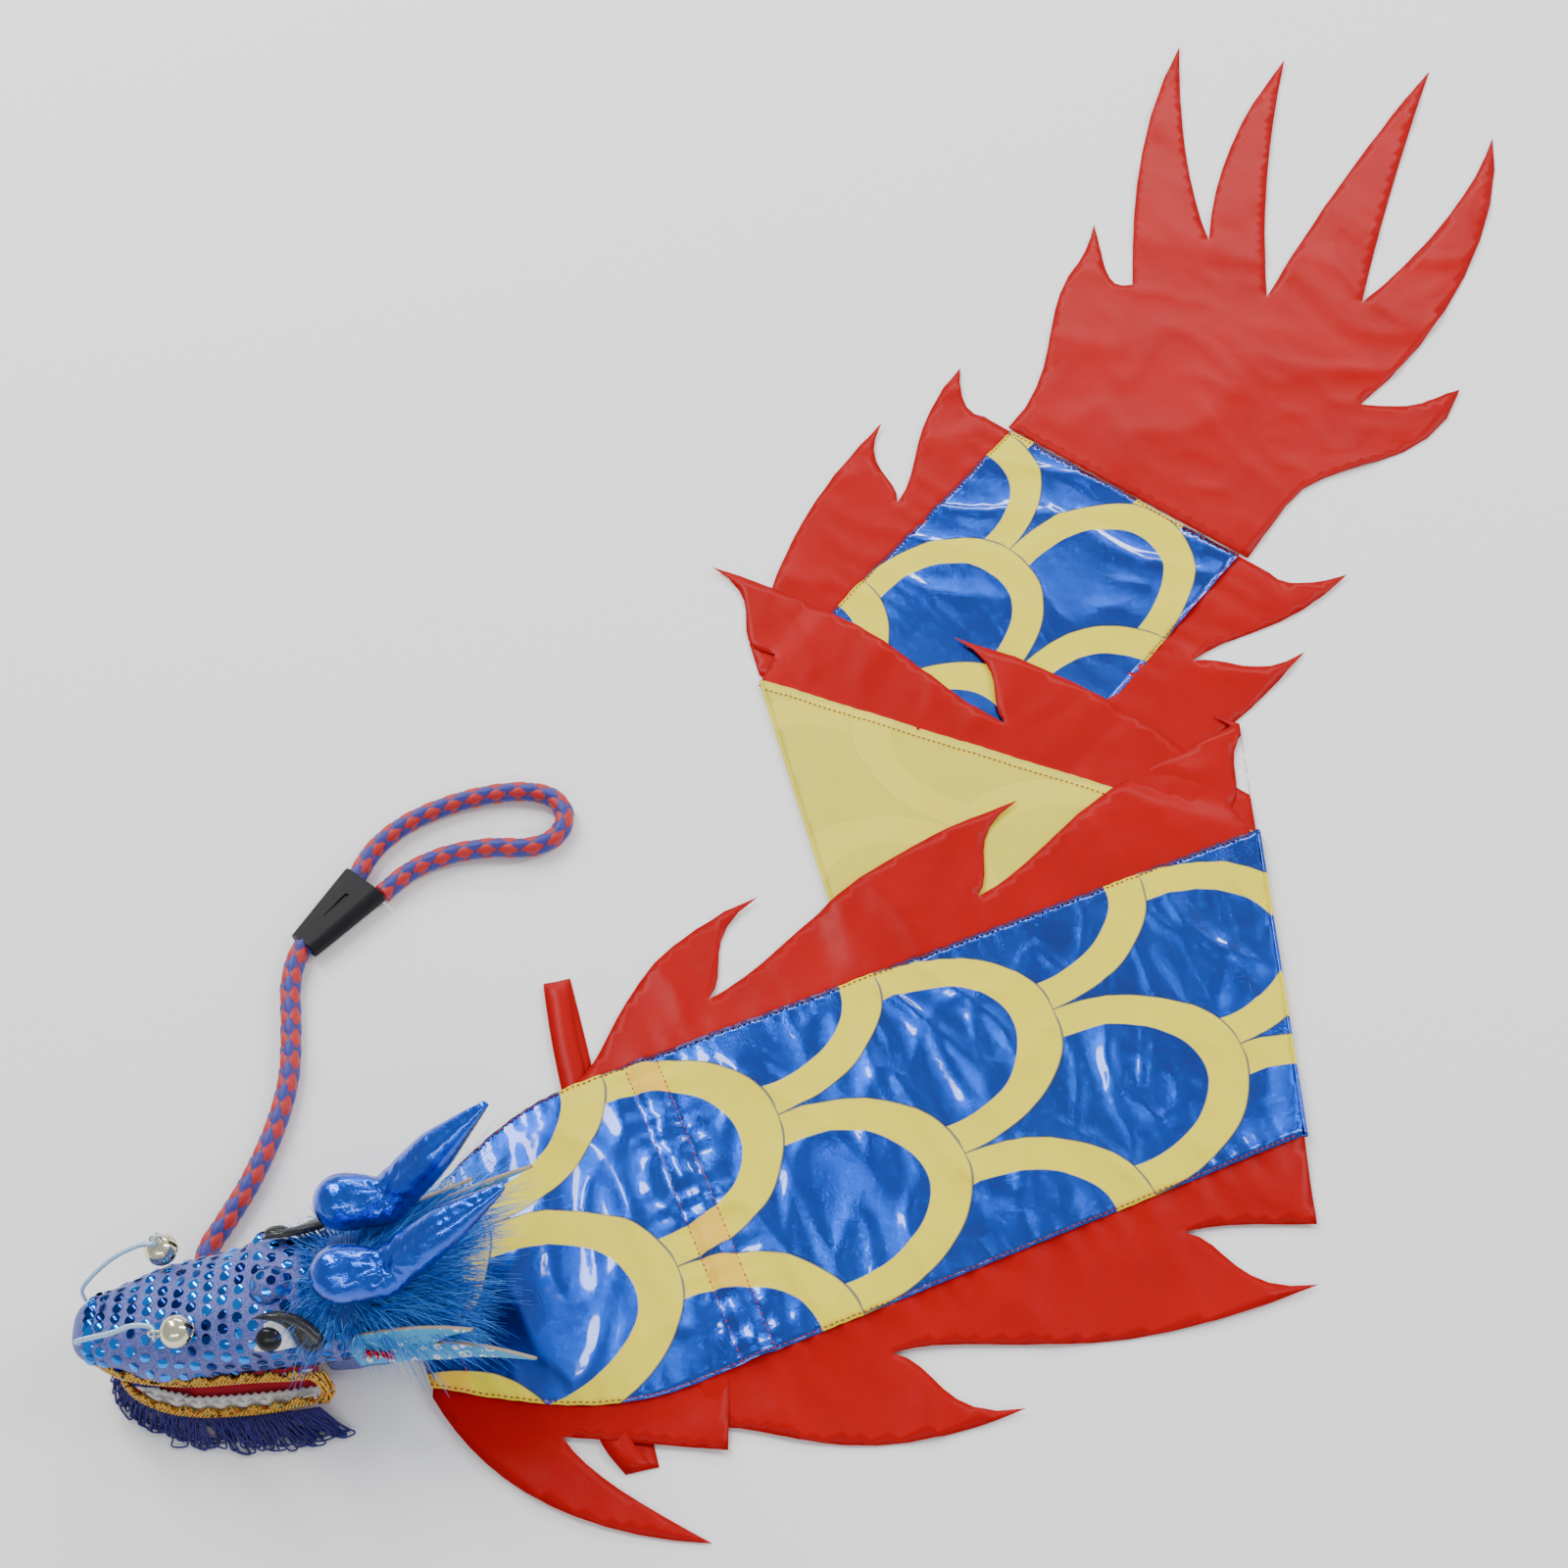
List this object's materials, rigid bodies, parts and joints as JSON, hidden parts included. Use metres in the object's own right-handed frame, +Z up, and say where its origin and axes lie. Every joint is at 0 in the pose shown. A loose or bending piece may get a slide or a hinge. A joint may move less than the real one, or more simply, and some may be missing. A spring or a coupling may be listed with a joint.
{
  "type": "dragon streamer kite toy",
  "caption": "Ribbon dragon toy with a stuffed head, foil scales, satin flame fins and tail, and a braided rope leash, lying folded in a Z.",
  "frame": {"origin": "floor under the middle of the rear length, which is the lowest layer of the folded ribbon", "axes": "+Z up; the snout points towards -X and the tail towards +X +Y"},
  "size_m": [1.0224, 1.248, 0.1412],
  "materials": {
    "foil_ribbon": "yellow polyester cloth with metallic blue foil between yellow scale arcs",
    "ribbon_reverse": "plain translucent pale yellow reverse of the printed cloth",
    "red_satin": "glossy red satin",
    "stay_plastic": "flat ivory plastic strip",
    "head_foam": "firm white stuffing",
    "sequin_mesh": "periwinkle glitter mesh with rows of navy and azure sequins",
    "mouth_plush": "crimson velour",
    "pinked_felt": "white felt with a pinked edge",
    "gold_gimp": "gold braid with black, red and green specks",
    "eye_vinyl": "glossy white vinyl",
    "pupil_vinyl": "glossy black puffy vinyl",
    "eyelid_leatherette": "charcoal leatherette",
    "blue_fur": "long-pile blue fur",
    "blue_lame": "stuffed metallic blue lame",
    "cheek_foam": "sky-blue foam sheet with white rings and a beige cut edge",
    "red_tinsel": "red tinsel",
    "lurex_cord": "pale blue lurex cord over a soft wire",
    "bell_metal": "pale gold plated bell",
    "pea_steel": "steel pea",
    "indigo_yarn": "indigo yarn in loops",
    "leash_braid": "round braid of red and blue-violet flat tapes",
    "ferrule_plastic": "matt black rubbery plastic"
  },
  "bodies": {
    "rear_body": {"rear_panel": "foil_ribbon", "rear_left_fin": "red_satin", "rear_right_fin": "red_satin"},
    "tail": {"tail_flame": "red_satin"},
    "middle_body": {"middle_panel": "ribbon_reverse", "middle_upper_fin": "red_satin", "middle_lower_fin": "red_satin"},
    "front_body": {"front_panel": "foil_ribbon", "front_upper_fin": "red_satin", "front_lower_fin": "red_satin", "neck_casing": "foil_ribbon", "neck_stay": "stay_plastic", "hoop_casing": "foil_ribbon", "hoop_stay": "stay_plastic", "under_strap": "red_satin", "leash_anchor": "ferrule_plastic", "leash_rope": "leash_braid", "rope_ferrule": "ferrule_plastic"},
    "head": {"head_core": "head_foam", "head_cover": "sequin_mesh", "throat_pad": "sequin_mesh", "palate_lining": "mouth_plush", "upper_teeth": "pinked_felt", "upper_lip_trim": "gold_gimp", "left_eye_white": "eye_vinyl", "right_eye_white": "eye_vinyl", "left_pupil": "pupil_vinyl", "right_pupil": "pupil_vinyl", "left_eyelid": "eyelid_leatherette", "right_eyelid": "eyelid_leatherette", "fur_mane": "blue_fur"},
    "lower_jaw": {"lower_jaw": "mouth_plush", "jaw_lining": "pinked_felt", "lower_teeth": "pinked_felt", "lower_lip_trim": "gold_gimp", "beard_fringe": "indigo_yarn", "mouth_yarn": "indigo_yarn"},
    "left_horn": {"left_horn": "blue_lame"},
    "left_cheek_fin": {"left_cheek_fin": "cheek_foam", "left_bow": "red_tinsel"},
    "left_feeler": {"left_feeler": "lurex_cord"},
    "left_bell": {"left_bell": "bell_metal"},
    "left_bell_pea": {"left_bell_pea": "pea_steel"},
    "right_horn": {"right_horn": "blue_lame"},
    "right_cheek_fin": {"right_cheek_fin": "cheek_foam", "right_bow": "red_tinsel"},
    "right_feeler": {"right_feeler": "lurex_cord"},
    "right_bell": {"right_bell": "bell_metal"},
    "right_bell_pea": {"right_bell_pea": "pea_steel"}
  },
  "joints": [
    {"name": "fold_rear", "type": "hinge", "parent": "rear_body", "child": "middle_body", "pos_m": [-0.12236, -0.14075, 0.0023], "axis": [0.2164, -0.9763, 0], "range_deg": [0, 170]},
    {"name": "fold_front", "type": "hinge", "parent": "middle_body", "child": "front_body", "pos_m": [0.16633, -0.26928, 0.0053], "axis": [0.0349, 0.9994, 0], "range_deg": [0, 170]},
    {"name": "tail_lift", "type": "hinge", "parent": "rear_body", "child": "tail", "pos_m": [0.12236, 0.14075, 0.0006], "axis": [0.7547, -0.6561, 0], "range_deg": [0, 70]},
    {"name": "head_nod", "type": "hinge", "parent": "front_body", "child": "head", "pos_m": [-0.37024, -0.46458, 0.018], "axis": [-0.0698, 0.9976, 0], "range_deg": [0, 30]},
    {"name": "jaw_close", "type": "hinge", "parent": "head", "child": "lower_jaw", "pos_m": [-0.41177, -0.47271, 0.02481], "axis": [-0.0698, 0.9976, 0], "range_deg": [0, 5]},
    {"name": "left_horn_flex", "type": "hinge", "parent": "head", "child": "left_horn", "pos_m": [-0.36175, -0.47136, 0.09579], "axis": [0.0691, -0.9879, 0.1392], "range_deg": [-10, 10], "stiffness_Nm_per_rad": 0.5},
    {"name": "left_cheek_flap", "type": "hinge", "parent": "head", "child": "left_cheek_fin", "pos_m": [-0.37951, -0.50399, 0.0598], "axis": [0.0097, -0.1388, -0.9903], "range_deg": [0, 25], "stiffness_Nm_per_rad": 0.05},
    {"name": "left_feeler_bend", "type": "hinge", "parent": "head", "child": "left_feeler", "pos_m": [-0.53191, -0.48927, 0.06028], "axis": [0.0691, -0.9879, 0.1392], "range_deg": [0, 20]},
    {"name": "left_bell_swing", "type": "hinge", "parent": "left_feeler", "child": "left_bell", "pos_m": [-0.48512, -0.49328, 0.08049], "axis": [0.0691, -0.9879, 0.1392], "range_deg": [0, 45]},
    {"name": "left_pea_rattle", "type": "slide", "parent": "left_bell", "child": "left_bell_pea", "axis": [-0.0097, 0.1388, 0.9903], "range_m": [0, 0.005]},
    {"name": "right_horn_flex", "type": "hinge", "parent": "head", "child": "right_horn", "pos_m": [-0.36479, -0.42789, 0.08967], "axis": [0.0691, -0.9879, 0.1392], "range_deg": [-10, 10], "stiffness_Nm_per_rad": 0.5},
    {"name": "right_cheek_flap", "type": "hinge", "parent": "head", "child": "right_cheek_fin", "pos_m": [-0.38476, -0.42891, 0.04922], "axis": [-0.0097, 0.1388, 0.9903], "range_deg": [0, 25], "stiffness_Nm_per_rad": 0.05},
    {"name": "right_feeler_bend", "type": "hinge", "parent": "head", "child": "right_feeler", "pos_m": [-0.53371, -0.46359, 0.05667], "axis": [0.0691, -0.9879, 0.1392], "range_deg": [0, 20]},
    {"name": "right_bell_swing", "type": "hinge", "parent": "right_feeler", "child": "right_bell", "pos_m": [-0.49451, -0.43641, 0.07202], "axis": [0.0691, -0.9879, 0.1392], "range_deg": [-20, 20]},
    {"name": "right_pea_rattle", "type": "slide", "parent": "right_bell", "child": "right_bell_pea", "axis": [-0.0097, 0.1388, 0.9903], "range_m": [0, 0.005]}
  ]
}
